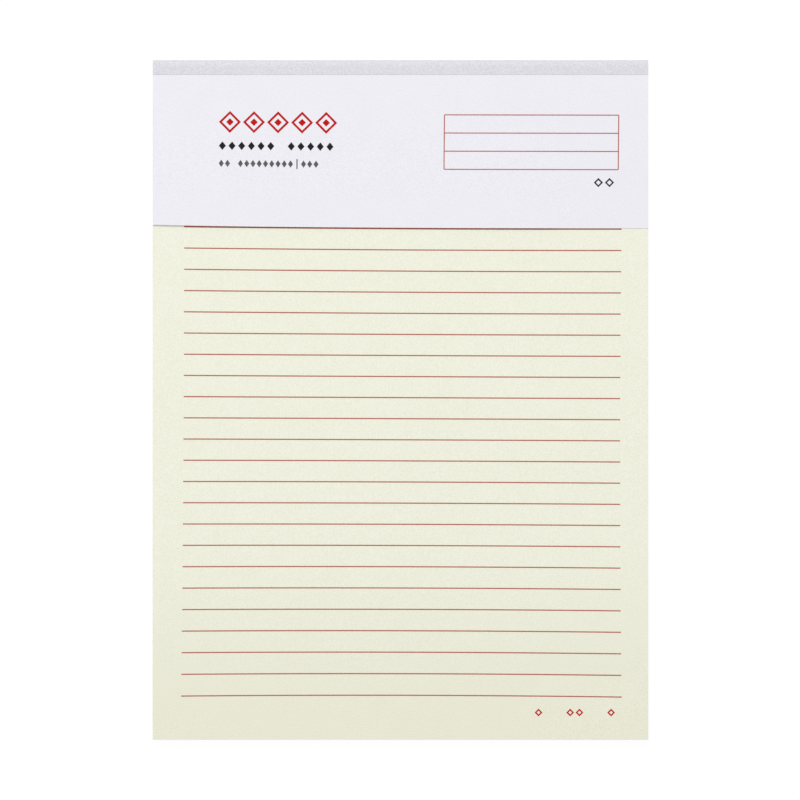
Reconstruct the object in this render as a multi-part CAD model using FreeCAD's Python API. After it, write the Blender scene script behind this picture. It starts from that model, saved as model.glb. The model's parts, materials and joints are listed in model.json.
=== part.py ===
"""A letter pad: thirty ruled sheets glued along the top edge on a backing board.

A short card cover lies over the head of the sheets, and a strip of binding tape is wrapped
round the glued edge, from the cover over the spine to the back of the board. The cover folds
up along the edge of the tape. Print is modelled as thin plates of ink lying on the paper.

The origin is the middle of the underside. +X runs across the pad to the right, +Y to the
bound edge and +Z out of the ruled side. All sizes are in millimetres.
"""

import FreeCAD
import Part

import math
import os

# The sheets, the board and the cover
pad_width = 210.0
pad_length = 288.0  # from the foot of the sheets to the outside of the tape on the spine
sheet_count = 30
sheet_thickness = 0.10
board_thickness = 0.80
cover_thickness = 0.28

# The binding
glue_thickness = 0.30
glue_corner_radius = 0.25
tape_thickness = 0.18
tape_front_lap = 6.1  # from the outside of the spine to the tape's edge on the cover
tape_back_lap = 9.2  # the same on the board
tape_bed = 0.03  # how deep the tape is pressed into the cover and the board

# The ruling, which is printed with a slight fall to the right
rule_width = 0.50
first_rule_width = 0.68
rule_pitch = 8.99
rule_first_drop = 71.1  # from the outside of the spine to the middle of the first rule
rule_foot_margin = 16.0  # the least room left under the last rule
rule_left_margin_first = 13.2
rule_left_margin_last = 12.0
rule_right_margin = 11.2
rule_fall_first = 1.22  # how far a rule would fall across the whole width of the pad
rule_fall_last = 0.51
cover_edge_clearance = 0.03  # from the cover's free edge to the first rule

# Ink, and the row of small open lozenges at the foot of the sheet
ink_thickness = 0.02
foot_groups = (1, 2, 1)
foot_mark = 3.3
foot_stroke = 0.60
foot_gap = 0.65
foot_space = 10.1
foot_height = 11.55  # from the foot of the sheets to the middle of the row
foot_margin = 14.1  # from the right edge to the row

# The print on the cover. Rows lie above or below a middle line and turn with the cover's
# free edge. A gap is between two marks, and a space between two groups of marks.
cover_print_rise = 0.87  # from the middle of the flap up to the print's middle line
cover_print_left = 28.0  # from the left edge of the pad to the rows on the left
cover_print_right = 12.4  # from the right edge of the pad to the sample box
title_groups = (1, 1, 1, 1, 1)
title_mark = 9.3
title_core = 3.2  # the filled lozenge in the middle of an open one
title_stroke = 0.90
title_gap = 0.9
title_rise = 10.9
subtitle_groups = (6, 5)
subtitle_mark_width = 3.0
subtitle_mark_height = 3.6
subtitle_gap = 1.1
subtitle_space = 5.7
subtitle_rise = 0.8
detail_groups = (2, 9, 3)
detail_mark_width = 2.15
detail_mark_height = 3.1
detail_gap = 0.5
detail_space = 3.35
detail_rise = -6.6
detail_bar_width = 0.5  # the upright stroke in the last space of the row
detail_bar_height = 4.2
sample_width = 74.3
sample_row = 7.7
sample_row_count = 3
sample_stroke = 0.44
sample_corner = 0.55
sample_rise = 3.1
caption_groups = (2,)
caption_mark = 3.9
caption_stroke = 0.62
caption_gap = 0.8
caption_inset = 2.0  # from the right side of the sample box to the row
caption_rise = -13.8

# Levels, from the table up
tape_bottom = 0.0
board_bed_level = tape_bottom + tape_thickness
board_bottom = board_bed_level - tape_bed
board_top = board_bottom + board_thickness
sheets_top = board_top + sheet_count * sheet_thickness
cover_top = sheets_top + cover_thickness
cover_bed_level = cover_top - tape_bed
tape_top = cover_bed_level + tape_thickness

# Places along the pad
foot = -pad_length / 2
spine_outside = pad_length / 2
spine_inside = spine_outside - tape_thickness
stack_head = spine_inside - glue_thickness
tape_front_edge = spine_outside - tape_front_lap
tape_back_edge = spine_outside - tape_back_lap
first_rule = spine_outside - rule_first_drop
left_edge = -pad_width / 2
right_edge = pad_width / 2


def block(x_low, x_high, y_low, y_high, z_low, z_high):
    """A box between two corners."""
    corner = FreeCAD.Vector(x_low, y_low, z_low)
    return Part.makeBox(x_high - x_low, y_high - y_low, z_high - z_low, corner)


def plate(corners, z_low, thickness):
    """A flat plate with straight sides through corners, given as (x, y) pairs in order."""
    points = [FreeCAD.Vector(x, y, z_low) for x, y in corners]
    outline = Part.makePolygon(points + points[:1])
    return Part.Face(outline).extrude(FreeCAD.Vector(0, 0, thickness))


def lozenge(x_middle, y_middle, width, height, z_low):
    """A filled lozenge of ink that stands on its point."""
    corners = [
        (x_middle - width / 2, y_middle),
        (x_middle, y_middle - height / 2),
        (x_middle + width / 2, y_middle),
        (x_middle, y_middle + height / 2),
    ]
    return plate(corners, z_low, ink_thickness)


def open_lozenge(x_middle, y_middle, size, stroke, z_low):
    """A lozenge of ink drawn as an outline, as high as it is wide over its outside."""
    outside = lozenge(x_middle, y_middle, size, size, z_low)
    clear = size - 2 * stroke * math.sqrt(2)
    return outside.cut(lozenge(x_middle, y_middle, clear, clear, z_low))


def row_places(groups, width, gap, space):
    """The middles of the marks in a row whose left end is at 0, group after group."""
    places = []
    x_left = 0.0
    for count in groups:
        for _ in range(count):
            places.append(x_left + width / 2)
            x_left += width + gap
        x_left += space - gap
    return places


def row_length(groups, width, gap, space):
    """The length of such a row, over the outsides of its first and last marks."""
    return row_places(groups, width, gap, space)[-1] + width / 2


def rounded_section(y_open, y_closed, z_low, z_high, radius):
    """Edges of a U lying on its side, closed by a wall at y_closed with two round corners."""
    diagonal = radius * (1 - math.sqrt(0.5))
    upper = (
        FreeCAD.Vector(0, y_closed - radius, z_high),
        FreeCAD.Vector(0, y_closed - diagonal, z_high - diagonal),
        FreeCAD.Vector(0, y_closed, z_high - radius),
    )
    lower = (
        FreeCAD.Vector(0, y_closed, z_low + radius),
        FreeCAD.Vector(0, y_closed - diagonal, z_low + diagonal),
        FreeCAD.Vector(0, y_closed - radius, z_low),
    )
    return [
        Part.LineSegment(FreeCAD.Vector(0, y_open[0], z_high), upper[0]).toShape(),
        Part.Arc(*upper).toShape(),
        Part.LineSegment(upper[2], lower[0]).toShape(),
        Part.Arc(*lower).toShape(),
        Part.LineSegment(lower[2], FreeCAD.Vector(0, y_open[1], z_low)).toShape(),
    ]


def across_the_pad(edges):
    """A solid with the section that the edges enclose, as wide as the pad."""
    section = Part.Face(Part.Wire(Part.__sortEdges__(edges)))
    section.translate(FreeCAD.Vector(left_edge, 0, 0))
    return section.extrude(FreeCAD.Vector(pad_width, 0, 0))


def join(start, end):
    """A straight edge between two (y, z) points of a section."""
    return Part.LineSegment(FreeCAD.Vector(0, *start), FreeCAD.Vector(0, *end)).toShape()


def make_backing_board():
    """The board, with a shallow bed for the tape along the head of its underside."""
    board = block(left_edge, right_edge, foot, stack_head, board_bottom, board_top)
    bed = block(left_edge, right_edge, tape_back_edge, stack_head, board_bottom, board_bed_level)
    return board.cut(bed)


def make_ruled_sheets():
    """All the sheets, as one glued block."""
    return block(left_edge, right_edge, foot, stack_head, board_top, sheets_top)


def corner_radius():
    """The round of the glue's outer corners, which its thickness limits."""
    return min(glue_corner_radius, 0.9 * glue_thickness)


def make_binding_glue():
    """The layer of glue on the heads of the board, the sheets and the cover."""
    ends = (stack_head, stack_head)
    edges = rounded_section(
        ends, spine_inside, board_bed_level, cover_bed_level, corner_radius()
    )
    edges.append(join((stack_head, board_bed_level), (stack_head, cover_bed_level)))
    return across_the_pad(edges)


def make_binding_tape():
    """The tape, wrapped from the cover round the glue to the back of the board."""
    ends = (tape_front_edge, tape_back_edge)
    inner_radius = corner_radius()
    outer_radius = inner_radius + tape_thickness
    edges = rounded_section(ends, spine_outside, tape_bottom, tape_top, outer_radius)
    edges += rounded_section(
        ends, spine_inside, board_bed_level, cover_bed_level, inner_radius
    )
    edges.append(join((tape_front_edge, cover_bed_level), (tape_front_edge, tape_top)))
    edges.append(join((tape_back_edge, tape_bottom), (tape_back_edge, board_bed_level)))
    return across_the_pad(edges)


def make_cover_margin():
    """The strip of the cover that is bound under the tape."""
    return block(
        left_edge, right_edge, tape_front_edge, stack_head, sheets_top, cover_bed_level
    )


def rule_count():
    """How many rules fit between the first one and the margin at the foot."""
    return 1 + int((first_rule - foot - rule_foot_margin) / rule_pitch)


def share_down(index):
    """How far down the ruling a rule lies: 0 for the first and 1 for the last."""
    return index / max(1, rule_count() - 1)


def rule_line(index, x):
    """The height y of the middle of a rule at a place x across the sheet."""
    fall = rule_fall_first + (rule_fall_last - rule_fall_first) * share_down(index)
    return first_rule - index * rule_pitch - fall * x / pad_width


def cover_edge(x):
    """The height y of the cover's free edge, which is cut along the first rule."""
    return rule_line(0, x) + first_rule_width / 2 + cover_edge_clearance


def make_cover_flap():
    """The free part of the cover, from the edge of the tape to the first rule."""
    corners = [
        (left_edge, cover_edge(left_edge)),
        (right_edge, cover_edge(right_edge)),
        (right_edge, tape_front_edge),
        (left_edge, tape_front_edge),
    ]
    return plate(corners, sheets_top, cover_thickness)


def make_rule(index):
    """One printed rule, as a long thin plate of ink. The first one is bolder."""
    margin_change = rule_left_margin_last - rule_left_margin_first
    x_left = left_edge + rule_left_margin_first + margin_change * share_down(index)
    x_right = right_edge - rule_right_margin
    y_left = rule_line(index, x_left)
    y_right = rule_line(index, x_right)
    half = (rule_width if index else first_rule_width) / 2
    corners = [
        (x_left, y_left - half),
        (x_right, y_right - half),
        (x_right, y_right + half),
        (x_left, y_left + half),
    ]
    return plate(corners, sheets_top, ink_thickness)


def make_page_ruling():
    """All the rules of the top sheet."""
    return Part.makeCompound([make_rule(index) for index in range(rule_count())])


def make_foot_marks():
    """The small open lozenges under the ruling."""
    spacing = (foot_groups, foot_mark, foot_gap, foot_space)
    x_left = right_edge - foot_margin - row_length(*spacing)
    y_middle = foot + foot_height
    return Part.makeCompound(
        [
            open_lozenge(x_left + place, y_middle, foot_mark, foot_stroke, sheets_top)
            for place in row_places(*spacing)
        ]
    )


def print_middle():
    """The height y of the middle line of the print on the cover."""
    return (tape_front_edge + cover_edge(0)) / 2 + cover_print_rise


def turned(solids):
    """Solids of the cover's print, turned together so that they follow the free edge."""
    group = Part.makeCompound(solids)
    middle = FreeCAD.Vector(0, print_middle(), cover_top)
    fall = math.degrees(math.atan(rule_fall_first / pad_width))
    group.rotate(middle, FreeCAD.Vector(0, 0, 1), -fall)
    return group


def make_cover_title():
    """The row of large open lozenges, each with a filled one in its middle."""
    x_left = left_edge + cover_print_left
    y_middle = print_middle() + title_rise
    marks = []
    for place in row_places(title_groups, title_mark, title_gap, title_gap):
        x_middle = x_left + place
        marks.append(open_lozenge(x_middle, y_middle, title_mark, title_stroke, cover_top))
        marks.append(lozenge(x_middle, y_middle, title_core, title_core, cover_top))
    return turned(marks)


def make_cover_subtitle():
    """The row of filled lozenges under the title."""
    x_left = left_edge + cover_print_left
    y_middle = print_middle() + subtitle_rise
    size = (subtitle_mark_width, subtitle_mark_height)
    places = row_places(subtitle_groups, subtitle_mark_width, subtitle_gap, subtitle_space)
    return turned([lozenge(x_left + place, y_middle, *size, cover_top) for place in places])


def make_cover_detail():
    """The row of small filled lozenges below it, with an upright stroke in its last space."""
    x_left = left_edge + cover_print_left
    y_middle = print_middle() + detail_rise
    size = (detail_mark_width, detail_mark_height)
    places = row_places(detail_groups, detail_mark_width, detail_gap, detail_space)
    marks = [lozenge(x_left + place, y_middle, *size, cover_top) for place in places]
    last_of_group = places[sum(detail_groups[:-1]) - 1]
    x_bar = x_left + last_of_group + (detail_mark_width + detail_space) / 2
    x_low = x_bar - detail_bar_width / 2
    y_low = y_middle - detail_bar_height / 2
    marks.append(
        block(
            x_low,
            x_low + detail_bar_width,
            y_low,
            y_low + detail_bar_height,
            cover_top,
            cover_top + ink_thickness,
        )
    )
    return turned(marks)


def make_cover_sample():
    """A box with rows, which shows how the sheets are ruled. Its corners are rounded."""
    x_high = right_edge - cover_print_right
    x_low = x_high - sample_width
    y_low = print_middle() + sample_rise - (sample_row * sample_row_count + sample_stroke) / 2
    y_high = y_low + sample_row * sample_row_count + sample_stroke
    ink_top = cover_top + ink_thickness
    drawn = block(x_low, x_high, y_low, y_high, cover_top, ink_top)
    corner = min(sample_corner, 2 * sample_stroke)
    drawn = drawn.makeFillet(corner, upright_edges(drawn))
    for index in range(sample_row_count):
        y_row = y_low + sample_stroke + index * sample_row
        clear = block(
            x_low + sample_stroke,
            x_high - sample_stroke,
            y_row,
            y_row + sample_row - sample_stroke,
            cover_top,
            ink_top,
        )
        drawn = drawn.cut(clear)
    return turned([drawn])


def upright_edges(solid):
    """The edges of a solid that run straight up."""
    return [edge for edge in solid.Edges if edge.BoundBox.ZLength > ink_thickness / 2]


def make_cover_caption():
    """Two small open lozenges under the sample box, ending near its right side."""
    spacing = (caption_groups, caption_mark, caption_gap, caption_gap)
    x_left = right_edge - cover_print_right - caption_inset - row_length(*spacing)
    y_middle = print_middle() + caption_rise
    return turned(
        [
            open_lozenge(x_left + place, y_middle, caption_mark, caption_stroke, cover_top)
            for place in row_places(*spacing)
        ]
    )


def main():
    """Writes one file for each piece, named after it."""
    pieces = {
        "backing_board": make_backing_board(),
        "ruled_sheets": make_ruled_sheets(),
        "binding_glue": make_binding_glue(),
        "binding_tape": make_binding_tape(),
        "cover_margin": make_cover_margin(),
        "cover_flap": make_cover_flap(),
        "page_ruling": make_page_ruling(),
        "foot_marks": make_foot_marks(),
        "cover_title": make_cover_title(),
        "cover_subtitle": make_cover_subtitle(),
        "cover_detail": make_cover_detail(),
        "cover_sample": make_cover_sample(),
        "cover_caption": make_cover_caption(),
    }
    os.makedirs("parts", exist_ok=True)
    for name, shape in pieces.items():
        shape.exportStep(os.path.join("parts", name + ".step"))
        box = shape.BoundBox
        print(f"{name}: {box.XLength:.2f} x {box.YLength:.2f} x {box.ZLength:.2f} mm")
    print(f"cover hinge: y {tape_front_edge:.3f}, z {tape_top:.3f} mm")
    print(f"back face: z {board_bottom:.3f} mm")


main()
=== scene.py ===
# %% [markdown]
# # A ruled letter pad
#
# The pad lies on its back: a grey board, thirty cream sheets glued along the head, a strip
# of fibre tape wrapped over the glued edge, and a short white card cover over the top of the
# sheets. Red rules and a little print finish it.
#
# Almost everything here is thin and flat, so it could be a slab with a picture on top. Each
# piece is a closed shell worked out from a formula instead, because then the light finds
# real edges, gaps and shadows: where the stack is pressed at the head and loosens at the
# foot, and where the card stands off the sheets.

# %% Load the measured parts
import json
import math

import bpy
import numpy as np
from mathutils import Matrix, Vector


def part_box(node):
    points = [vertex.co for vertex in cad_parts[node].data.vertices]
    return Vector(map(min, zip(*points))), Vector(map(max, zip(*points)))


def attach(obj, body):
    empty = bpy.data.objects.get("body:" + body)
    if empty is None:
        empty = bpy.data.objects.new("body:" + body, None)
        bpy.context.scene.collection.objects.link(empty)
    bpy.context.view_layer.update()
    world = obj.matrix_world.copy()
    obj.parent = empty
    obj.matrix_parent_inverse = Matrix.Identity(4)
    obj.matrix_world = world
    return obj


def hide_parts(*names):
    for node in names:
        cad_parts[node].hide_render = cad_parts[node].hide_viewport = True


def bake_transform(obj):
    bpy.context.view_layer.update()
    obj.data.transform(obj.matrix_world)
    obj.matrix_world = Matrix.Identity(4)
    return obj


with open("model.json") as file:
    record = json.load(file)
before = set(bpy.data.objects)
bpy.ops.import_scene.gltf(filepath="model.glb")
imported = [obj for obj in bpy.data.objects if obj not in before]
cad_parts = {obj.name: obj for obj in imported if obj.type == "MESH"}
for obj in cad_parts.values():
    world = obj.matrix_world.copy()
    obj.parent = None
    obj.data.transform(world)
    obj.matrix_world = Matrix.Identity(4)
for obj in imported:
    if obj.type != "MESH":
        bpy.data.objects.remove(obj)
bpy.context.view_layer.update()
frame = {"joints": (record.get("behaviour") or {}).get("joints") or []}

MM = 0.001

# %% [markdown]
# Every length that the pieces share is read from the measured parts: the width of the pad,
# the head and the foot of the sheets, the levels of the stack, and the crease of the cover,
# which is where its hinge lies. Only what those parts don't show, such as the air between
# two sheets, gets a value of its own further down.

# %% Shared places and levels
sheets_low, sheets_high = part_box("ruled_sheets")
board_low, board_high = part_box("backing_board")
flap_low, flap_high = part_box("cover_flap")
margin_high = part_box("cover_margin")[1]
tape_low, tape_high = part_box("binding_tape")
ink_low, ink_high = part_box("page_ruling")

HALF_WIDTH = sheets_high.x
HEAD = sheets_high.y
FOOT = sheets_low.y
SPINE = tape_high.y
CREASE = frame["joints"][0]["pos_m"][1]
TAPE_BACK_EDGE = tape_low.y
TAPE_TOP = tape_high.z
TAPE_BOTTOM = tape_low.z
STACK_BASE = board_high.z
SHEETS_TOP = sheets_high.z
CARD_TOP = margin_high.z
CARD = flap_high.z - flap_low.z
TAPE = TAPE_TOP - CARD_TOP
INK = ink_high.z - ink_low.z
print("stack from", round(STACK_BASE / MM, 2), "to", round(SHEETS_TOP / MM, 2), "mm")

# %% [markdown]
# ## Camera
#
# The pad is seen from straight above, as in a product picture. An orthographic camera would
# keep its outline square, but from any other side the pad would look unnatural through it.
# A long lens does nearly the same and keeps a little perspective. The lens fixes the
# distance, because the picture has to cover a given width at the level of the paper. Width
# and place come from the pad's outline in the photograph, in its pixels.

# %% The camera over the pad
PHOTO_PIXELS = 800
OUTLINE_LEFT, OUTLINE_RIGHT = 153.0, 648.0
OUTLINE_TOP, OUTLINE_BOTTOM = 60.0, 740.0
LENS = 180.0
FAR_LIMIT = 10.0

across = 2 * HALF_WIDTH / (OUTLINE_RIGHT - OUTLINE_LEFT)
along = (SPINE - FOOT) / (OUTLINE_BOTTOM - OUTLINE_TOP)
pixel = (across + along) / 2
camera_data = bpy.data.cameras.new("camera")
camera_data.lens = LENS
camera_data.clip_end = FAR_LIMIT
distance = PHOTO_PIXELS * pixel * LENS / camera_data.sensor_width
camera = bpy.data.objects.new("camera", camera_data)
camera.location = (
    (PHOTO_PIXELS - OUTLINE_LEFT - OUTLINE_RIGHT) / 2 * pixel,
    (OUTLINE_TOP + OUTLINE_BOTTOM - PHOTO_PIXELS) / 2 * pixel,
    SHEETS_TOP + distance,
)
bpy.context.scene.collection.objects.link(camera)
bpy.context.scene.camera = camera
bpy.context.scene.view_settings.view_transform = "Standard"
print("one pixel is", round(pixel / MM, 4), "mm; camera at", round(distance, 3), "m")

# %% [markdown]
# ## Sockets as numbers
#
# A procedural material is arithmetic on patterns. Written with Blender's own calls it takes
# several lines for each sum, so a small class wraps an output socket and turns Python's
# operators into Math nodes. A second class wraps a node tree and adds any other node: it
# takes the node's type, its settings and what goes into its sockets.

# %% Sockets in sums
class Wire:
    """An output socket that can be used in sums. Each operator adds a Math node."""

    def __init__(self, nodes, socket):
        self.nodes = nodes
        self.socket = socket

    def _math(self, operation, other):
        return self.nodes.add("ShaderNodeMath", {"operation": operation}, {0: self, 1: other})

    def __add__(self, other):
        return self._math("ADD", other)

    def __mul__(self, other):
        return self._math("MULTIPLY", other)

    __radd__ = __add__
    __rmul__ = __mul__

    def largest(self, other):
        """The larger of two values."""
        return self._math("MAXIMUM", other)


# %% Node trees
class Nodes:
    """A node tree, emptied. add() makes a node and gives one of its outputs as a Wire."""

    def __init__(self, owner):
        owner.use_nodes = True
        self.tree = owner.node_tree
        self.tree.nodes.clear()

    def add(self, kind, settings=None, sockets=None, output=0):
        node = self.tree.nodes.new(kind)
        for name, value in (settings or {}).items():
            setattr(node, name, value)
        for name, value in (sockets or {}).items():
            if isinstance(value, Wire):
                self.tree.links.new(value.socket, node.inputs[name])
            else:
                node.inputs[name].default_value = value
        return Wire(self, node.outputs[output] if len(node.outputs) else None)


# %% Colours as a picture writes them
def linear(red, green, blue):
    """A colour given in picture values from 0 to 255, as Blender's linear values.

    A share s up to 0.04045 becomes s / 12.92, and a larger one ((s + 0.055) / 1.055)^2.4.
    """
    shares = np.array([red, green, blue]) / 255
    dark = shares / 12.92
    light = ((shares + 0.055) / 1.055) ** 2.4
    return (*np.where(shares <= 0.04045, dark, light), 1.0)


print("a middle grey of 128 is", round(float(linear(128, 128, 128)[0]), 3), "in linear light")

# %% [markdown]
# Every finish on the pad is made of the same few patterns. Paper, tape and board are all
# fibres, and noise is the natural way to draw them: round noise gives clouds and blots,
# noise drawn out one way gives fibres, and the few peaks of noise above a limit give flecks.
# Noise has no seam and no size of its own, so it stays sharp from close by, as an image
# wrapped round the pad wouldn't.

# %% Patterns that several finishes use
def mix_colours(nodes, share, first, second, blend="MIX"):
    """The first colour where share is 0, and where it is 1 the second, or their product.

    A Mix node has sockets for each type of value. The colours are 6 and 7, and output 2.
    """
    settings = {"data_type": "RGBA", "blend_type": blend}
    return nodes.add("ShaderNodeMix", settings, {0: share, 6: first, 7: second}, output=2)


def place_on_object(nodes):
    """The place on the object in metres."""
    return nodes.add("ShaderNodeTexCoord", output="Object")


def place_along(nodes):
    """The place along the pad in metres, with the head at the high end."""
    place = place_on_object(nodes)
    return nodes.add("ShaderNodeSeparateXYZ", None, {"Vector": place}, output="Y")


def noise(nodes, size, detail=2.0, stretch=(1, 1, 1), turn=0.0, low=0.0, high=1.0):
    """Cloudy noise whose blots are about size metres wide, spread from low to high.

    The place is multiplied by stretch, so a small number draws the blots out that way, and
    it is turned about Z.
    """
    sockets = {"Vector": place_on_object(nodes), "Scale": stretch, "Rotation": (0, 0, turn)}
    place = nodes.add("ShaderNodeMapping", None, sockets)
    sockets = {"Vector": place, "Scale": 1 / size, "Detail": detail}
    cloud = nodes.add("ShaderNodeTexNoise", None, sockets)
    sockets = {"Value": cloud, "From Min": low, "From Max": high}
    return nodes.add("ShaderNodeMapRange", {"clamp": True}, sockets)


def matt_material(name, colour, height, depth, roughness, specular=0.35):
    """Ends the node tree that height belongs to with a matt shader, and prints its name.

    The colour is a wire, and height is a pattern that becomes bumps of the given depth.
    """
    nodes = height.nodes
    bump = nodes.add("ShaderNodeBump", None, {"Height": height, "Distance": depth})
    sockets = {"Base Color": colour, "Roughness": roughness, "Specular IOR Level": specular}
    sockets["Normal"] = bump
    shader = nodes.add("ShaderNodeBsdfPrincipled", None, sockets)
    nodes.add("ShaderNodeOutputMaterial", None, {"Surface": shader})
    print("finish:", name)


# %% [markdown]
# ## Floor and light
#
# The pad lies on white, and the picture's background has no tone of its own. More light
# would whiten the floor, but it would bleach the paper too. So the floor and the world show
# as plain white to the camera, while the light that they throw on the pad stays at a natural
# level. A share of the floor stays an ordinary lit surface, which keeps a soft shadow at the
# pad's edge.

# %% World and floor
SKY_LEVEL = 0.67
FLOOR_GREY = 0.9
FLOOR_GLOW = 1.05
FLOOR_GLOW_SHARE = 0.88
FLOOR_HALF = 4.0
FLOOR_DROP = 0.02 * MM
WHITE = (1, 1, 1, 1)
DIRECT_RAYS = ("Is Camera Ray", "Is Glossy Ray", "Is Transmission Ray")


def seen_directly(nodes):
    """1 for rays from the camera and for what is seen in a gloss or through glass."""
    rays = [nodes.add("ShaderNodeLightPath", output=name) for name in DIRECT_RAYS]
    return rays[0].largest(rays[1]).largest(rays[2])


world = bpy.data.worlds.new("sky")
bpy.context.scene.world = world
nodes = Nodes(world)
sky = nodes.add("ShaderNodeBackground", None, {"Color": WHITE, "Strength": SKY_LEVEL})
white = nodes.add("ShaderNodeBackground", None, {"Color": WHITE, "Strength": 1.0})
backdrop = nodes.add("ShaderNodeMixShader", None, {0: seen_directly(nodes), 1: sky, 2: white})
nodes.add("ShaderNodeOutputWorld", None, {"Surface": backdrop})

floor_paint = bpy.data.materials.new("white_floor")
nodes = Nodes(floor_paint)
grey = (FLOOR_GREY, FLOOR_GREY, FLOOR_GREY, 1)
lit = nodes.add("ShaderNodeBsdfDiffuse", None, {"Color": grey})
glow = nodes.add("ShaderNodeEmission", None, {"Color": WHITE, "Strength": FLOOR_GLOW})
share = seen_directly(nodes) * FLOOR_GLOW_SHARE
shown = nodes.add("ShaderNodeMixShader", None, {0: share, 1: lit, 2: glow})
nodes.add("ShaderNodeOutputMaterial", None, {"Surface": shown})

corners = np.array([(-1, -1, 0), (1, -1, 0), (1, 1, 0), (-1, 1, 0)]) * FLOOR_HALF
corners -= (0, 0, FLOOR_DROP)
floor_mesh = bpy.data.meshes.new("floor")
floor_mesh.from_pydata(corners.tolist(), [], [(0, 1, 2, 3)])
floor_mesh.materials.append(floor_paint)
floor = bpy.data.objects.new("floor", floor_mesh)
bpy.context.scene.collection.objects.link(floor)
print("floor", 2 * FLOOR_HALF, "m wide; sky level", SKY_LEVEL)

# %% [markdown]
# The light is mostly even, from the pale sky. One large soft lamp stands beyond the head of
# the pad and a little to the left. It makes the head brighter than the foot and draws a thin
# shadow under the free edge of the cover. A sun would cast that shadow just as well, but it
# would light head and foot alike.

# %% The lamp beyond the head
LAMP_PLACE = (-0.50, 1.75, 1.95)
LAMP_SIDE = 0.7
LAMP_POWER = 28.8

lamp_data = bpy.data.lights.new("soft_lamp", "AREA")
lamp_data.shape = "SQUARE"
lamp_data.size = LAMP_SIDE
lamp_data.energy = LAMP_POWER
lamp = bpy.data.objects.new("soft_lamp", lamp_data)
lamp.location = LAMP_PLACE
lamp.rotation_euler = (-lamp.location).to_track_quat("-Z", "Y").to_euler()
bpy.context.scene.collection.objects.link(lamp)
print("lamp", round(lamp.location.length, 2), "m from the pad")

# %% [markdown]
# ## Finishes
#
# Writing paper is matt and nearly even, but not quite: its fibres lie in faint clouds a few
# millimetres wide, with fine specks over them, and its surface has a tooth. A flat colour
# would look like plastic. The cut edges of a stack show each sheet a little lighter or
# darker, so the paper also reads a value for each sheet, which the mesh of the stack carries
# as an attribute. Towards the foot the paper is painted slightly warmer and darker, as
# painted shade where the lamp's light falls off. Card is the same material, smoother and bluer.

# %% Paper and card
CLOUD_SHARE = 0.12
# Painted shade: the paper darkens from here towards the foot, where the lamp's light falls off.
FOOT_SHADE_FROM = -50 * MM
EDGE_SHADE = (0.42, 0.40, 0.33, 1)


def painted_shade_at_the_foot(nodes, colour, tint):
    """Painted shade: the colour times a darker tint, coming in gently from FOOT_SHADE_FROM to
    FOOT.
    """
    sockets = {"Value": place_along(nodes), "From Min": FOOT_SHADE_FROM, "From Max": FOOT}
    shade_share = nodes.add("ShaderNodeMapRange", {"interpolation_type": "SMOOTHSTEP"}, sockets)
    return mix_colours(nodes, shade_share, colour, tint, blend="MULTIPLY")


def paper(name, light, shade, tooth, sheet_contrast=0.0, foot_shade=None):
    """Uncoated paper: two close tones in clouds and specks, with a tooth of crossed fibres.

    The tooth is a depth in metres. With sheet_contrast, the paper darkens with the value of
    each sheet, and with foot_shade, it takes that tint at the foot of the pad as painted shade.
    """
    material = bpy.data.materials.new(name)
    nodes = Nodes(material)
    clouds = noise(nodes, size=9 * MM, detail=3.0, low=0.3, high=0.7)
    specks = noise(nodes, size=0.42 * MM, detail=1.0, low=0.3, high=0.7)
    share = clouds * CLOUD_SHARE + specks * (1 - CLOUD_SHARE)
    colour = mix_colours(nodes, share, light, shade)
    # Painted shade towards the foot.
    if foot_shade:
        colour = painted_shade_at_the_foot(nodes, colour, foot_shade)
    if sheet_contrast:
        tone = nodes.add("ShaderNodeAttribute", {"attribute_name": "sheet_tone"}, output="Fac")
        colour = mix_colours(nodes, tone * sheet_contrast, colour, EDGE_SHADE)
    along = noise(nodes, size=0.7 * MM, stretch=(0.35, 1.8, 1), turn=0.5)
    across = noise(nodes, size=0.65 * MM, stretch=(1.9, 0.4, 1), turn=0.3)
    matt_material(name, colour, along * 0.5 + across * 0.5, depth=tooth, roughness=0.9)
    return material


cream_paper = paper(
    "cream_paper",
    light=linear(248, 249, 233),
    shade=linear(236, 236, 217),
    tooth=0.015 * MM,
    sheet_contrast=0.5,
    # Painted shade: the tint that the paper takes at the foot.
    foot_shade=(0.955, 0.949, 0.922, 1),
)
white_card = paper(
    "white_card", light=linear(245, 244, 251), shade=linear(233, 232, 239), tooth=0.012 * MM
)

# %% [markdown]
# The tape is a soft nonwoven: short fibres pressed into a sheet, grey with lighter and
# darker blots and a slightly hairy surface. Modelled hairs would number in the thousands and
# hardly show at this size, so noise draws them. The same fibres go into the colour and the
# bumps, because a fibre that stands up is also the one that catches the light. Where the
# tape turns over the spine its colour is darkened, as painted shade.

# %% Tape
# Painted shade along the rim of the spine: how wide it is, and its tint.
SHADED_RIM = 0.8 * MM
RIM_SHADE_TINT = (0.74, 0.74, 0.75, 1)


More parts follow.
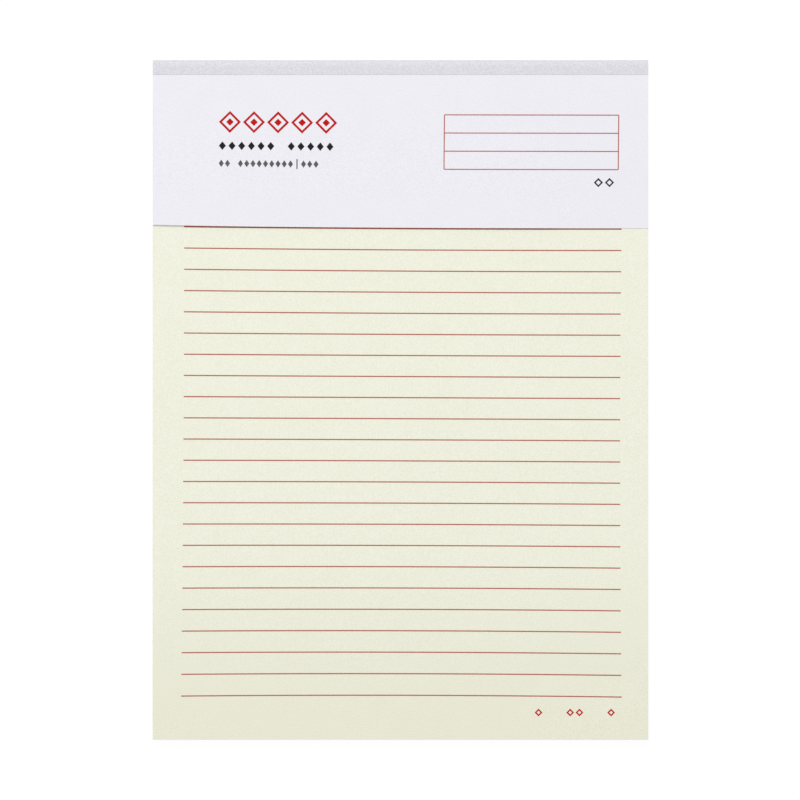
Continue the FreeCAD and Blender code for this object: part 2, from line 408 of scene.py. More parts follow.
def fibre_tape_finish():
    """Grey nonwoven: blots and crossed pale fibres, with painted shade along the rim of the
    spine.

    The rim's share rises with the square of the way across it.
    """
    material = bpy.data.materials.new("grey_fibre_tape")
    nodes = Nodes(material)
    blots = noise(nodes, size=0.5 * MM, low=0.32, high=0.68)
    fibres = noise(nodes, size=0.45 * MM, stretch=(0.3, 1.6, 1), turn=0.9, low=0.35, high=0.7)
    crossed = noise(nodes, size=0.45 * MM, stretch=(1.6, 0.3, 1), turn=0.6, low=0.35, high=0.7)
    web = fibres * 0.5 + crossed * 0.5
    share = blots * 0.5 + web * 0.5
    colour = mix_colours(nodes, share, linear(206, 206, 212), linear(238, 238, 244))
    # Painted shade: the colour darkens towards the rim of the spine.
    sockets = {"Value": place_along(nodes), "From Min": SPINE - SHADED_RIM, "From Max": SPINE}
    rim_shade = nodes.add("ShaderNodeMapRange", {"clamp": True}, sockets)
    colour = mix_colours(nodes, rim_shade * rim_shade, colour, RIM_SHADE_TINT, blend="MULTIPLY")
    matt_material("grey_fibre_tape", colour, web, depth=0.06 * MM, roughness=0.95, specular=0.25)
    return material


fibre_tape = fibre_tape_finish()

# %% [markdown]
# The board is recycled pulp, warm grey with flecks of what it was made from. Flecks could be
# scattered as small faces, but they lie in the board and not on it, so each kind of fleck is
# the highest peaks of a noise. The glue is a thin milky film, seen only at the two ends of
# the head, and the one surface on the pad that is a little shiny.

# %% Board and glue
FLECK_SHARE = 0.6


def grey_board_finish():
    """Recycled pulp board: warm grey clouds with sparse dark and pale flecks."""
    material = bpy.data.materials.new("grey_board")
    nodes = Nodes(material)
    clouds = noise(nodes, size=6 * MM, detail=5.0, low=0.25, high=0.75)
    colour = mix_colours(nodes, clouds, linear(166, 160, 149), linear(147, 141, 131))
    dark = noise(nodes, size=0.9 * MM, detail=1.0, stretch=(0.5, 1.3, 1), low=0.68, high=0.74)
    pale = noise(nodes, size=1.2 * MM, detail=1.0, stretch=(1.2, 0.5, 1), low=0.69, high=0.76)
    colour = mix_colours(nodes, dark * FLECK_SHARE, colour, linear(92, 86, 80))
    colour = mix_colours(nodes, pale * FLECK_SHARE, colour, linear(206, 202, 192))
    grain = noise(nodes, size=0.5 * MM, detail=3.0)
    matt_material("grey_board", colour, grain, depth=0.03 * MM, roughness=0.92)
    return material


def padding_glue_finish():
    """Dried padding glue: milky, slightly uneven and a little shiny."""
    material = bpy.data.materials.new("milky_glue")
    nodes = Nodes(material)
    clouds = noise(nodes, size=1.5 * MM)
    colour = mix_colours(nodes, clouds, linear(228, 226, 216), linear(214, 211, 198))
    matt_material("milky_glue", colour, clouds, depth=0.02 * MM, roughness=0.4, specular=0.5)
    return material


grey_board = grey_board_finish()
milky_glue = padding_glue_finish()

# %% [markdown]
# Ink soaks into the paper, so it has the paper's dullness, and it is a little thinner where
# the fibres stand up. There are two reds. The title and the marks at the foot are a deep
# red, printed full. The fine rules and the sample box carry less ink and look duller and
# paler, so they have a red of their own.

# %% Inks
def ink(name, full, thin):
    """Printing ink on matt paper, with faint thin places."""
    material = bpy.data.materials.new(name)
    nodes = Nodes(material)
    wear = noise(nodes, size=0.7 * MM, detail=3.0, low=0.35, high=0.75)
    colour = mix_colours(nodes, wear, full, thin)
    matt_material(name, colour, wear, depth=0.004 * MM, roughness=0.8, specular=0.12)
    return material


red_ink = ink("red_ink", full=linear(187, 12, 9), thin=linear(197, 30, 25))
rule_ink = ink("rule_ink", full=linear(176, 97, 84), thin=linear(190, 117, 104))
dark_ink = ink("dark_ink", full=linear(24, 23, 25), thin=linear(42, 40, 43))
grey_ink = ink("grey_ink", full=linear(90, 86, 88), thin=linear(112, 108, 110))

# %% [markdown]
# ## Thin plates
#
# Paper, card, tape, board and ink are all thin plates, flat or bent. A surface with a
# Solidify modifier would give them a thickness, but the same one everywhere. Here each plate
# is a pair of grids, the points of its upper surface and the points of its lower surface,
# so either side can have a shape of its own. One helper closes such a pair into a solid
# shell, so every piece is a real, watertight body.

# %% A closed shell between two grids
def shell(upper, lower, loop=False):
    """Vertices and faces of a closed plate between two grids of points of the same shape.

    Rows run along the first parameter and columns along the second, and the upper grid's
    normal, row direction after column direction, points out of the plate. Walls close the
    rim. With loop, the last column joins the first, and only the rows' ends get walls.
    """
    rows, columns = upper.shape[:2]
    numbers = np.arange(rows * columns).reshape(rows, columns)
    if loop:
        numbers = np.concatenate([numbers, numbers[:, :1]], axis=1)
    below = numbers + rows * columns
    top = [numbers[:-1, :-1], numbers[:-1, 1:], numbers[1:, 1:], numbers[1:, :-1]]
    bottom = [below[:-1, :-1], below[1:, :-1], below[1:, 1:], below[:-1, 1:]]
    faces = [np.stack(side, axis=-1).reshape(-1, 4) for side in (top, bottom)]
    rims = [numbers[0], numbers[-1, ::-1]]
    if not loop:
        rims += [numbers[:, -1], numbers[::-1, 0]]
    for rim in rims:
        under = rim + rows * columns
        faces.append(np.stack([rim[:-1], under[:-1], under[1:], rim[1:]], axis=-1))
    points = np.concatenate([upper.reshape(-1, 3), lower.reshape(-1, 3)])
    return points, np.concatenate(faces)


def joined(shells):
    """One set of vertices and faces from several."""
    starts = np.cumsum([0] + [len(points) for points, _ in shells[:-1]])
    faces = [part_faces + start for (_, part_faces), start in zip(shells, starts)]
    return np.concatenate([points for points, _ in shells]), np.concatenate(faces)


# %% A piece from points and faces
SHARP_ANGLE = math.radians(35)


def make_piece(name, points, faces, material):
    """A mesh object at the origin, shaded smooth except over its sharp edges."""
    mesh = bpy.data.meshes.new(name)
    mesh.from_pydata(points.tolist(), [], faces.tolist())
    mesh.polygons.foreach_set("use_smooth", np.ones(len(mesh.polygons), bool))
    mesh.set_sharp_from_angle(angle=SHARP_ANGLE)
    mesh.materials.append(material)
    mesh.validate()
    piece = bpy.data.objects.new(name, mesh)
    bpy.context.scene.collection.objects.link(piece)
    low, high = points.min(axis=0) / MM, points.max(axis=0) / MM
    print(name, len(faces), "faces, mm", np.round(low, 2), "to", np.round(high, 2))
    return piece


def stand_in(piece, body, node):
    """Lets a piece ride on a body in place of a measured part, which it hides."""
    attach(piece, body)
    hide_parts(node)


# %% [markdown]
# ## The tape over the head
#
# A strip of tape is stuck down on the cover, folded over the glued edge and stuck to the
# back of the board. Pressed by hand, it doesn't fold over a square corner: the upper corner
# rolls over gently, which makes a band of another tone along the spine, and the lower corner
# by the board is tight. A strip with two bevelled edges would have the same round at both.
# So the section is a path of two quarter superellipses with straight stretches between them,
# and the tape is that path carried across the pad.

# %% The section of the tape
ROLL_LENGTH = 2.7 * MM
ROLL_HEIGHT = 0.85 * MM
ROLL_POWER = 1.7
ROLL_STEPS = 22
TUCK = 0.55 * MM
TUCK_POWER = 2.2
TUCK_STEPS = 9
STRAIGHT_STEPS = 6
TAPE_MIDDLE = (TAPE_TOP + TAPE_BOTTOM) / 2


def quarter(steps, power):
    """Points of a quarter superellipse from (0, 1) to (1, 0), evenly spaced in angle.

    With angle a, the point is cos(a) and sin(a), each raised to 2 over power.
    """
    angle = np.linspace(math.pi / 2, 0, steps)
    share = np.stack([np.cos(angle), np.sin(angle)], axis=1).clip(0, 1)
    return share ** (2 / power)


def straight(start, end, steps):
    """Points from start towards end, evenly spaced, without the end itself."""
    share = np.linspace(0, 1, steps, endpoint=False)[:, None]
    return np.array(start) + share * (np.array(end) - np.array(start))


roll = quarter(ROLL_STEPS, ROLL_POWER) * (ROLL_LENGTH, ROLL_HEIGHT)
roll += (SPINE - ROLL_LENGTH, TAPE_TOP - ROLL_HEIGHT)
tuck = quarter(TUCK_STEPS, TUCK_POWER)[::-1] * (TUCK, -TUCK)
tuck += (SPINE - TUCK, TAPE_BOTTOM + TUCK)
outside = np.concatenate(
    [
        straight((CREASE, TAPE_TOP), roll[0], STRAIGHT_STEPS),
        roll[:-1],
        straight(roll[-1], tuck[0], STRAIGHT_STEPS),
        tuck,
        straight(tuck[-1], (TAPE_BACK_EDGE, TAPE_BOTTOM), STRAIGHT_STEPS)[1:],
        [(TAPE_BACK_EDGE, TAPE_BOTTOM)],
    ]
)
direction = np.gradient(outside, axis=0)
direction /= np.linalg.norm(direction, axis=1)[:, None]
inward = np.stack([direction[:, 1], -direction[:, 0]], axis=1)
inside = outside + inward * TAPE
print("tape section:", len(outside), "points")

# %% The tape, carried across the pad
EDGE_WANDER = 0.03 * MM
WAVE_LENGTHS = (23 * MM, 9.1 * MM, 3.7 * MM)
WANDER_PHASE = 0.4
TAPE_COLUMNS = 85


def wander(x, phase):
    """A slow irregular wave from -1 to 1 along x: three sines with unrelated lengths."""
    waves = [np.sin(x / wave + (n + 1) * phase) for n, wave in enumerate(WAVE_LENGTHS)]
    return sum(waves) / len(waves)


def carried(section):
    """The section's points at every x of the pad.

    Each point moves towards the spine by its slack times the wave. The slack is 1 at the
    free edges. It falls evenly to 0, by the start of the roll in front and by the spine
    behind.
    """
    from_front = np.clip((section[:, 0] - CREASE) / (SPINE - ROLL_LENGTH - CREASE), 0, 1)
    from_back = np.clip((section[:, 0] - TAPE_BACK_EDGE) / (SPINE - TAPE_BACK_EDGE), 0, 1)
    slack = 1 - np.where(section[:, 1] > TAPE_MIDDLE, from_front, from_back)
    x = np.linspace(-HALF_WIDTH, HALF_WIDTH, TAPE_COLUMNS)
    y = section[:, :1] + np.outer(slack, np.abs(wander(x, WANDER_PHASE))) * EDGE_WANDER
    return np.stack(np.broadcast_arrays(x, y, section[:, 1:]), axis=-1)


tape = make_piece("fibre_tape", *shell(carried(outside), carried(inside)), fibre_tape)
stand_in(tape, "pad", "binding_tape")

# %% [markdown]
# ## The stack under the tape
#
# The tape and the press squeeze the head of the stack, so the levels there lie closer
# together. Towards the foot nothing holds the sheets, and the upper ones stand off a little,
# most of all at the corners. The pieces could each be bent by a modifier, but then they
# might cut through one another. One function gives the height of any level of the stack at
# any place instead, and sheets, cover and ink all use it.

# %% The height of a level in the stack
SLACK_START = 60 * MM
SLACK_EVEN = 0.12 * MM
SLACK_CORNER = 0.40 * MM
SLACK_POWER = 2.5
MIDDLE_SHARE = 0.3
RIGHT_EXTRA = 0.35

upper_inside = inside[inside[:, 1] > TAPE_MIDDLE]


def pressed(y):
    """The share of its height that the stack keeps at y: 1 away from the head."""
    ceiling = np.interp(y, upper_inside[:, 0], upper_inside[:, 1])
    return np.clip((ceiling - STACK_BASE) / (CARD_TOP - STACK_BASE), 0, 1)


def slack_height(x, y):
    """How far the top sheet stands off at (x, y).

    It grows with the square of the way down the free part. A second share grows with its
    fourth power: MIDDLE_SHARE of it across the whole foot, and the rest with the square of
    the distance from the middle. The right corner has RIGHT_EXTRA more, the left one less.
    """
    down = np.clip((SLACK_START - y) / (SLACK_START - FOOT), 0, 1)
    aside = x / HALF_WIDTH
    corner = MIDDLE_SHARE + (1 - MIDDLE_SHARE) * aside**2
    return SLACK_EVEN * down**2 + SLACK_CORNER * down**4 * corner * (1 + RIGHT_EXTRA * aside)


def level_height(x, y, level):
    """The height z of a level of the stack at (x, y), given as its height in the block."""
    share = (level - STACK_BASE) / (SHEETS_TOP - STACK_BASE)
    still = STACK_BASE + (level - STACK_BASE) * pressed(y)
    return still + slack_height(x, y) * np.clip(share, 0, 1) ** SLACK_POWER


print("height kept at the head:", round(float(pressed(HEAD)), 3))

# %% [markdown]
# ## Thirty sheets
#
# Thirty plates a tenth of a millimetre thick could be stacked by hand, or made by an array
# modifier as exact copies. A guillotine leaves them almost flush but not quite, and that
# faint irregularity is what tells the eye that a block is made of sheets. So all thirty are
# worked out at once, with small seeded shifts of their three free edges, a blade that leans
# slightly, and a thin gap of air between neighbours.

# %% The free edges of the sheets
SHEETS = 30
EDGE_JITTER = 0.025 * MM
EDGE_DRIFT = 0.02 * MM
BLADE_LEAN = 0.10 * MM
dice = np.random.default_rng(seed=30)


def edge_shifts():
    """One shift for each sheet's edge: a slow drift up the stack with a jitter on top.

    The lean of the blade draws the lower sheets in, up to BLADE_LEAN for the lowest.
    """
    drift = np.cumsum(dice.normal(0, EDGE_DRIFT, SHEETS))
    drift -= np.linspace(drift[0], drift[-1], SHEETS)
    lean = np.linspace(-BLADE_LEAN, 0, SHEETS)
    return drift + lean + dice.normal(0, EDGE_JITTER, SHEETS)


left = (-HALF_WIDTH - edge_shifts())[:, None, None]
right = (HALF_WIDTH + edge_shifts())[:, None, None]
foot = (FOOT - edge_shifts())[:, None, None]
print("right edges spread over", round(float(np.ptp(right)) / MM, 2), "mm")

# %% The sheets as plates
AIR_GAP = 0.008 * MM
FREE_STEPS, HEAD_STEPS, SHEET_COLUMNS = 24, 7, 15

free_rows = np.linspace(FOOT, HEAD - ROLL_LENGTH, FREE_STEPS, endpoint=False)
head_rows = np.linspace(HEAD - ROLL_LENGTH, HEAD, HEAD_STEPS)
row_shares = (np.concatenate([free_rows, head_rows]) - FOOT) / (HEAD - FOOT)
x = left + (right - left) * np.linspace(0, 1, SHEET_COLUMNS)
y = foot + (HEAD - foot) * row_shares[:, None]
x, y = np.broadcast_arrays(x, y)
levels = np.linspace(STACK_BASE, SHEETS_TOP, SHEETS + 1)[:, None, None]
uppers = np.stack([x, y, level_height(x, y, levels[1:])], axis=-1)
lowers = np.stack([x, y, level_height(x, y, levels[:-1] + AIR_GAP)], axis=-1)
plates = [shell(upper, lower) for upper, lower in zip(uppers, lowers)]
sheets = make_piece("loose_sheets", *joined(plates), cream_paper)
stand_in(sheets, "pad", "ruled_sheets")

# %% A tone for each sheet
GRAIN_SHARE, BAND_SHARE = 0.12, 0.25
BAND_SHEETS = 5

grain = dice.uniform(0, 1, SHEETS)
bands = dice.uniform(0, 1, SHEETS + BAND_SHEETS - 1)
bands = np.convolve(bands, np.ones(BAND_SHEETS) / BAND_SHEETS, mode="valid")
bands = (bands - bands.min()) / np.ptp(bands)
sheet_tones = GRAIN_SHARE * grain + BAND_SHARE * bands
sheet_tones[-1] = 0.0
tones = np.repeat(sheet_tones, len(plates[0][0])).astype(np.float32)
tone = sheets.data.attributes.new("sheet_tone", "FLOAT", "POINT")
tone.data.foreach_set("value", tones)
print("sheet tones up to", round(float(tones.max()), 2))

# %% [markdown]
# ## Board and glue
#
# The board carries the stack. The tape's back lap is pressed into it, which leaves a shallow
# bed with a soft edge. The leaning blade draws its foot in, as it does the lowest sheet's.
# The board's rim is worn round. A formula could round it, but on a plain plate a Bevel
# modifier does it in a few lines. The glue is the thin layer between the head of the stack
# and the tape, and it takes the tape's rounded inside for its own outside.

# %% The board
BOARD_INSET = 0.03 * MM
BED_SLOPE = 0.5 * MM
FLAT_ROWS, BOARD_COLUMNS = 4, 9
WORN_WIDTH, WORN_SEGMENTS = 0.10 * MM, 2
WORN_ANGLE = math.radians(50)

rows = np.linspace(FOOT, TAPE_BACK_EDGE - BED_SLOPE, FLAT_ROWS)
rows = np.concatenate([rows, [TAPE_BACK_EDGE, HEAD]])
rows[0] += BLADE_LEAN
columns = np.linspace(-HALF_WIDTH + BOARD_INSET, HALF_WIDTH - BOARD_INSET, BOARD_COLUMNS)
x, y = np.meshgrid(columns, rows)
underside = np.where(y >= TAPE_BACK_EDGE, TAPE_BOTTOM + TAPE, board_low.z)
upper = np.stack([x, y, np.full_like(x, STACK_BASE)], axis=-1)
lower = np.stack([x, y, underside], axis=-1)
board = make_piece("pulp_board", *shell(upper, lower), grey_board)
rounding = board.modifiers.new("worn edges", "BEVEL")
rounding.width = WORN_WIDTH
rounding.segments = WORN_SEGMENTS
rounding.limit_method = "ANGLE"
rounding.angle_limit = WORN_ANGLE
stand_in(board, "pad", "backing_board")

# %% The glue
GLUE_START = 0.01 * MM
GLUE_COLUMNS = 25

around = inside[inside[:, 0] > HEAD + GLUE_START]
x = np.linspace(-HALF_WIDTH + BOARD_INSET, HALF_WIDTH - BOARD_INSET, GLUE_COLUMNS)
glue_outside = np.stack(np.broadcast_arrays(x, around[:, :1], around[:, 1:]), axis=-1)
glue_inside = glue_outside.copy()
glue_inside[..., 1] = HEAD
glue = make_piece("head_glue", *shell(glue_outside, glue_inside), milky_glue)
stand_in(glue, "pad", "binding_glue")

# %% [markdown]
# ## The ruling
#
# The rules are ink on the top sheet. They could be stripes in the paper's own material, but
# then their edges would be no sharper than the pattern, and they would have no piece of
# their own. So each rule is a ribbon of ink laid on the sheet. A helper lays a stroke of any
# path on any surface, and everything printed on the pad uses it.

# %% Strokes of ink on a surface
INK_CLEARANCE = 0.003 * MM


def laid_on(edges, surface, closed=False):
    """A thin closed plate of ink between rows of (x, y) points, on surface(x, y)."""
    height = surface(edges[..., 0], edges[..., 1]) + INK_CLEARANCE
    lower = np.concatenate([edges, height[..., None]], axis=-1)
    return shell(lower + (0, 0, INK), lower, loop=closed)


def stroke(path, width, surface, closed=False):
    """A ribbon of ink along a path of (x, y) points, laid on surface(x, y).

    Each edge lies half the width off the path, along the sum of the two neighbouring
    normals, divided by one plus their product, which keeps the width true at corners.
    """
    around = np.concatenate([path[-1:], path, path[:1]]) if closed else path
    steps = np.diff(around, axis=0)
    normals = np.stack([-steps[:, 1], steps[:, 0]], axis=1)
    normals /= np.linalg.norm(normals, axis=1)[:, None]
    if not closed:
        normals = np.concatenate([normals[:1], normals, normals[-1:]])
    before, after = normals[:-1], normals[1:]
    mitre = (before + after) / (1 + (before * after).sum(axis=1))[:, None]
    edges = np.stack([path - mitre * width / 2, path + mitre * width / 2])
    return laid_on(edges, surface, closed)


def page_surface(x, y):
    """The height of the top sheet at (x, y)."""
    return level_height(x, y, SHEETS_TOP)


# %% [markdown]
# The rules aren't quite parallel: they fall a little to the right, less so towards the foot,
# and they bow slightly, as print does on paper that has stretched. Their ends draw in half
# way down the page. Points read off the photograph would hold all of that, but nobody could
# change them later. A low polynomial does it with a few numbers that each mean something.

# %% Where a rule lies
RULES_MIDDLE = -25.80 * MM
RULES_HALF_SPREAD = 98.39 * MM
SPREAD_SQUARE, SPREAD_CUBE = -0.47 * MM, -0.49 * MM
FIRST_RULE_RISE, FIRST_RULE_TURN = 0.08 * MM, 0.03 * MM
FALL_MIDDLE, FALL_CHANGE = -0.43 * MM, 0.20 * MM
BOW_MIDDLE, BOW_CHANGE = -0.14 * MM, -0.54 * MM


def rule_height(down, x):
    """The height y of a rule at x, with down from -1 for the first to 1 for the last.

    With aside as x over half the width, three sums are added: a middle less a spread times
    down, with a little of its square and cube; a fall times aside; and a bow times aside
    squared. Fall and bow change evenly with down. The first rule stands a little higher,
    most of all at its right end.
    """
    aside = x / HALF_WIDTH
    level = RULES_MIDDLE - RULES_HALF_SPREAD * down
    level = level + SPREAD_SQUARE * down**2 + SPREAD_CUBE * down**3
    if down == -1:
        level = level + FIRST_RULE_RISE + FIRST_RULE_TURN * aside
    fall = FALL_MIDDLE + FALL_CHANGE * down
    bow = BOW_MIDDLE + BOW_CHANGE * down
    return level + fall * aside + bow * aside**2


print("first rule at", round(rule_height(-1, 0.0) / MM, 2), "mm from the pad's middle")

# %% The rules
RULES = 23
RULE_WIDTH = 0.50 * MM
FIRST_RULE_WIDTH = 0.68 * MM
RULE_MARGIN_FIRST, RULE_MARGIN_LAST = 13.3 * MM, 12.0 * MM
RULE_MARGIN_RIGHT = 11.3 * MM
WAIST_LEFT, WAIST_RIGHT = 0.32 * MM, 0.60 * MM
RULE_POINTS = 49


def rule(down):
    """One rule, from its left margin to its right one. The first one is bolder.

    The left margin changes evenly with down. A waist, 1 less down squared, is added to both
    margins, so that the rules draw in half way down the page.
    """
    waist = 1 - down**2
    margin = RULE_MARGIN_FIRST + (RULE_MARGIN_LAST - RULE_MARGIN_FIRST) * (down + 1) / 2
    start = -HALF_WIDTH + margin + WAIST_LEFT * waist
    end = HALF_WIDTH - RULE_MARGIN_RIGHT - WAIST_RIGHT * waist
    x = np.linspace(start, end, RULE_POINTS)
    width = FIRST_RULE_WIDTH if down == -1 else RULE_WIDTH
    return stroke(np.stack([x, rule_height(down, x)], axis=1), width, page_surface)


ruled = [rule(down) for down in np.linspace(-1, 1, RULES)]
rules = make_piece("red_rules", *joined(ruled), rule_ink)
stand_in(rules, "pad", "page_ruling")

# %% [markdown]
# ## The cover
#
# The cover is one card. Its head is bound under the tape, it folds along the tape's edge,
# and its free edge is cut just above the first rule. A new card never lies quite flat: this
# one stands off the sheets along its free edge and lies down only near the right end. It
# throws a thin shadow on the first rule, which looks darker than the others as far as the
# card stands off. Cloth simulation would bend it too, but card this stiff takes a shape that
# two curves describe better.

# %% The free edge of the card, and how far it stands off
EDGE_ABOVE_RULE = 0.30 * MM
EDGE_CORNER_RISE = 0.30 * MM
CORNER_START = 0.55
LIFT = 0.50 * MM
LIFT_POWER = 2.2
FLAT_FROM, FLAT_SPAN = 75 * MM, 15 * MM
REST_GAP = 0.004 * MM


def card_edge(x):
    """The height y of the card's free edge at x: just above the first rule.

    Towards the left corner it rises with the square of the distance from CORNER_START.
    """
    aside = np.clip((-x / HALF_WIDTH - CORNER_START) / (1 - CORNER_START), 0, 1)
    return rule_height(-1, x) + EDGE_ABOVE_RULE + EDGE_CORNER_RISE * aside**2


def card_lift(x, y):
    """How far the card stands off the top sheet at (x, y).

    It grows with a power of the way down the flap. To the right of FLAT_FROM the card lies
    flat, and from there to the left it rises within FLAT_SPAN as 3 s^2 - 2 s^3 does.
    """
    down = np.clip((CREASE - y) / (CREASE - card_edge(x)), 0, 1)
    risen = np.clip((FLAT_FROM - x) / FLAT_SPAN, 0, 1)
    most = LIFT * risen**2 * (3 - 2 * risen)
    return REST_GAP + most * down**LIFT_POWER


def card_underside(x, y):
    """The height of the card's lower face."""
    return level_height(x, y, SHEETS_TOP) + card_lift(x, y)


def card_face(x, y):
    """The height of the card's upper face, which the tape presses a little."""
    under_tape = (CARD_TOP - SHEETS_TOP) * pressed(y)
    return card_underside(x, y) + np.where(y > CREASE, under_tape - REST_GAP, CARD)


print("card stands off", round(float(card_lift(0.0, card_edge(0.0))) / MM, 2), "mm")

# %% The card
FOLD_LENGTH = 1.0 * MM
CREASE_STEP = 0.002 * MM
CARD_COLUMNS = 43
FREE_ROWS, FOLD_ROWS, BOUND_ROWS = 28, 11, 13

columns = np.linspace(-HALF_WIDTH, HALF_WIDTH, CARD_COLUMNS)
fold_end = CREASE - FOLD_LENGTH
free_share = np.linspace(1, 0, FREE_ROWS, endpoint=False)[:, None]
free_rows = fold_end - (fold_end - card_edge(columns)) * free_share
fold_rows = np.linspace(fold_end, CREASE, FOLD_ROWS)
bound_rows = np.linspace(CREASE + CREASE_STEP, HEAD, BOUND_ROWS)
fixed_rows = np.concatenate([fold_rows, bound_rows])[:, None]
y = np.concatenate([free_rows, np.broadcast_to(fixed_rows, (len(fixed_rows), len(columns)))])
x = np.broadcast_to(columns, y.shape)
upper = np.stack([x, y, card_face(x, y)], axis=-1)
lower = np.stack([x, y, card_underside(x, y)], axis=-1)
card = make_piece("card_cover", *shell(upper, lower), white_card)
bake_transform(card)
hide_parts("cover_margin", "cover_flap")

# %% [markdown]
# ## Print on the cover and at the foot
#
# The print stands for headings without being writing: rows of lozenges, open or filled, with
# the weight and colour that such rows have. Text objects would give letters, and a lozenge
# of four points is lighter and says nothing. Their places are those of the measured parts.
# Every row follows the fall and the bow of the first rule, because it was printed with it.

# %% The skew of the print
TILT_MIDDLE = FALL_MIDDLE - FALL_CHANGE
TILT_BOW = BOW_MIDDLE - BOW_CHANGE
PRINT_LEAN = 0.010


def print_slope(x):
    """The rise of a printed line for each metre to the right, at x."""
    return (TILT_MIDDLE + 2 * TILT_BOW * x / HALF_WIDTH) / HALF_WIDTH


def tilted(points, middle):
    """Points moved about the middle of their row, as the print on the sheet is skewed.

    A point rises by the print's slope times its distance across, and it goes to the right by
    PRINT_LEAN times its distance up, so rows follow the first rule and uprights lean a little.
    """
    across, up = (points - middle).T
    slope = print_slope(middle[0])
    return np.stack([across + PRINT_LEAN * up, up + slope * across], axis=1) + middle


def row_middle(node):
    """The middle (x, y) of a measured row."""
    low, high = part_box(node)
    return np.array([(low.x + high.x) / 2, (low.y + high.y) / 2])


print("print falls", round(-print_slope(0.0) * HALF_WIDTH / MM, 2), "mm over half the width")

# %% Lozenges in rows
def lozenge_corners(middle, width, height):
    """The four corners of a lozenge that stands on its point, from the right one round."""
    reach = np.array([(width, 0), (0, height), (-width, 0), (0, -height)]) / 2
    return middle + reach


def open_lozenge(middle, size, width, surface, centre):
    """A lozenge drawn as an outline of the given stroke, size across over its outside."""
    across = size - width * math.sqrt(2)
    corners = tilted(lozenge_corners(middle, across, across), centre)
    return stroke(corners, width, surface, closed=True)


def filled_lozenge(middle, width, height, surface, centre):
    """A filled lozenge."""
    right, top, left, bottom = tilted(lozenge_corners(middle, width, height), centre)
    return laid_on(np.array([[left, bottom], [top, right]]), surface)


def row_places(groups, width, gap, space):
    """The middles of marks in a row, centred on 0. A space parts the groups."""
    widths = np.full(sum(groups), width + gap)
    widths[np.cumsum(groups)[:-1]] += space - gap
    places = np.cumsum(widths)
    return places - (places[0] + places[-1]) / 2


# %% Rows of open lozenges
TITLE_MARK, TITLE_CORE, TITLE_STROKE, TITLE_GAP = 9.3 * MM, 3.2 * MM, 0.90 * MM, 0.9 * MM
FOOT_MARK, FOOT_STROKE, FOOT_GAP, FOOT_SPACE = 3.3 * MM, 0.60 * MM, 0.65 * MM, 10.1 * MM
CAPTION_MARK, CAPTION_STROKE, CAPTION_GAP = 3.9 * MM, 0.62 * MM, 0.8 * MM


def open_row(node, surface, groups, mark, width, gap, space=0.0, core=0.0):
    """A row of open lozenges in place of a measured row, with or without filled cores."""
    centre = row_middle(node)
    shapes = []
    for place in row_places(groups, mark, gap, space or gap):
        middle = centre + (place, 0)
        shapes.append(open_lozenge(middle, mark, width, surface, centre))
        if core:
            shapes.append(filled_lozenge(middle, core, core, surface, centre))
    return joined(shapes)


sizes = (TITLE_MARK, TITLE_STROKE, TITLE_GAP)
title = open_row("cover_title", card_face, (5,), *sizes, core=TITLE_CORE)
title = make_piece("title_lozenges", *title, red_ink)
stand_in(title, "cover", "cover_title")

caption = open_row("cover_caption", card_face, (2,), CAPTION_MARK, CAPTION_STROKE, CAPTION_GAP)
caption = make_piece("caption_lozenges", *caption, dark_ink)
stand_in(caption, "cover", "cover_caption")

sizes = (FOOT_MARK, FOOT_STROKE, FOOT_GAP, FOOT_SPACE)
foot_row = open_row("foot_marks", page_surface, (1, 2, 1), *sizes)
foot_row = make_piece("foot_lozenges", *foot_row, red_ink)
stand_in(foot_row, "pad", "foot_marks")

# %% Rows of filled lozenges
SUBTITLE_GROUPS, DETAIL_GROUPS = (6, 5), (2, 9, 3)
SUBTITLE_MARK, SUBTITLE_GAP, SUBTITLE_SPACE = (3.0 * MM, 3.6 * MM), 1.1 * MM, 5.7 * MM
DETAIL_MARK, DETAIL_GAP, DETAIL_SPACE = (2.15 * MM, 3.1 * MM), 0.5 * MM, 3.35 * MM
BAR_WIDTH, BAR_HEIGHT = 0.5 * MM, 4.2 * MM


def filled_row(centre, places, mark):
    """A row of filled lozenges on the card, at places to either side of its centre."""
    return [filled_lozenge(centre + (place, 0), *mark, card_face, centre) for place in places]


centre = row_middle("cover_subtitle")
places = row_places(SUBTITLE_GROUPS, SUBTITLE_MARK[0], SUBTITLE_GAP, SUBTITLE_SPACE)
subtitle = joined(filled_row(centre, places, SUBTITLE_MARK))
subtitle = make_piece("subtitle_lozenges", *subtitle, dark_ink)
stand_in(subtitle, "cover", "cover_subtitle")

centre = row_middle("cover_detail")
places = row_places(DETAIL_GROUPS, DETAIL_MARK[0], DETAIL_GAP, DETAIL_SPACE)
detail = filled_row(centre, places, DETAIL_MARK)
last_group = sum(DETAIL_GROUPS[:-1])
bar_x = (places[last_group - 1] + places[last_group]) / 2
bar = centre + np.array([(bar_x, -BAR_HEIGHT / 2), (bar_x, BAR_HEIGHT / 2)])
detail.append(stroke(tilted(bar, centre), BAR_WIDTH, card_face))
detail = make_piece("detail_lozenges", *joined(detail), grey_ink)
stand_in(detail, "cover", "cover_detail")

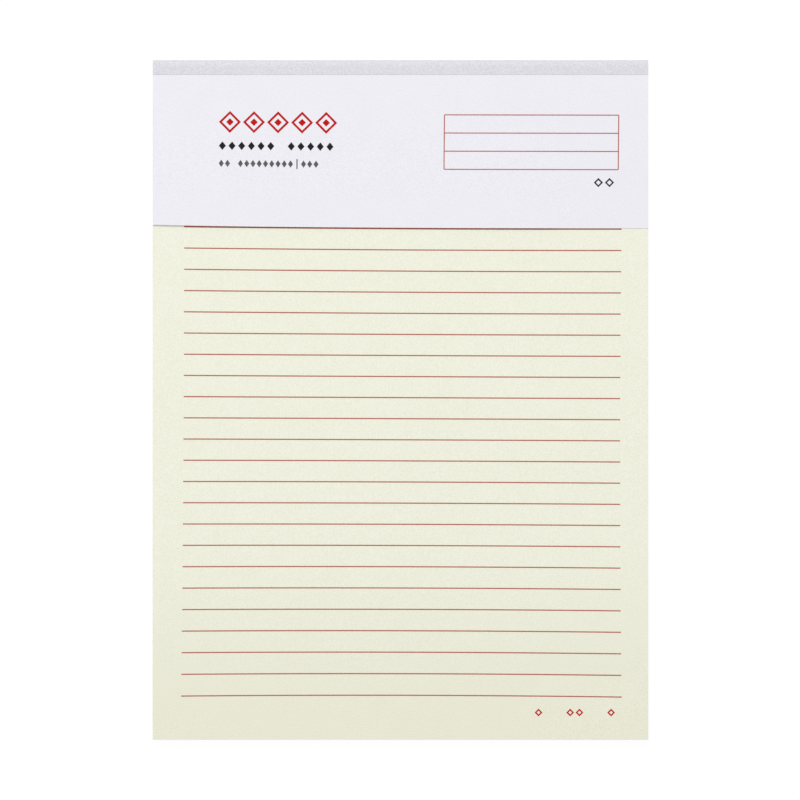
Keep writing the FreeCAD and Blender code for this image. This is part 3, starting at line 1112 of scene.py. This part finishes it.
# %% [markdown]
# The sample box shows how the sheets are ruled: a rectangle with round corners and two lines
# across it. It is drawn with the same strokes as the rules, closed round the outline and
# open along the lines, so that it bends with the card as they do with the sheet.

# %% The outline of a box with round corners
SAMPLE_WIDTH, SAMPLE_ROW = 74.3 * MM, 7.7 * MM
SAMPLE_ROWS = 3
SAMPLE_STROKE = 0.44 * MM
SAMPLE_CORNER = 0.55 * MM
LINE_POINTS, SIDE_STEPS, CORNER_POINTS = 25, 9, 7
CORNER_SIGNS = ((1, 1), (-1, 1), (-1, -1), (1, -1))
QUARTER_TURN = np.array([[0, 1], [-1, 0]])


def rounded_rectangle(half, radius):
    """The outline of a rectangle centred on 0, counter-clockwise, with round corners.

    Each corner is a quarter circle, turned by a right angle from the one before it, and each
    side between two corners is divided evenly.
    """
    angle = np.linspace(0, math.pi / 2, CORNER_POINTS)
    arc = np.stack([np.cos(angle), np.sin(angle)], axis=1) * radius
    corners = []
    for signs in CORNER_SIGNS:
        corners.append(arc + (half - radius) * signs)
        arc = arc @ QUARTER_TURN
    path = []
    for turn, steps in enumerate((LINE_POINTS, SIDE_STEPS) * 2):
        start, end = corners[turn][-1], corners[(turn + 1) % 4][0]
        path += [corners[turn], straight(start, end, steps)[1:]]
    return np.concatenate(path)


half = np.array([SAMPLE_WIDTH - SAMPLE_STROKE, SAMPLE_ROW * SAMPLE_ROWS]) / 2
outline = rounded_rectangle(half, SAMPLE_CORNER - SAMPLE_STROKE / 2)
print("box outline:", len(outline), "points")

# %% The sample box
centre = row_middle("cover_sample")
drawn = [stroke(tilted(outline + centre, centre), SAMPLE_STROKE, card_face, closed=True)]
line_x = np.linspace(-1, 1, LINE_POINTS) * (half[0] - SAMPLE_STROKE / 2)
for index in range(1, SAMPLE_ROWS):
    line_y = np.full_like(line_x, (index / SAMPLE_ROWS * 2 - 1) * half[1])
    line = np.stack([line_x, line_y], axis=1) + centre
    drawn.append(stroke(tilted(line, centre), SAMPLE_STROKE, card_face))
sample = make_piece("sample_box", *joined(drawn), rule_ink)
stand_in(sample, "cover", "cover_sample")
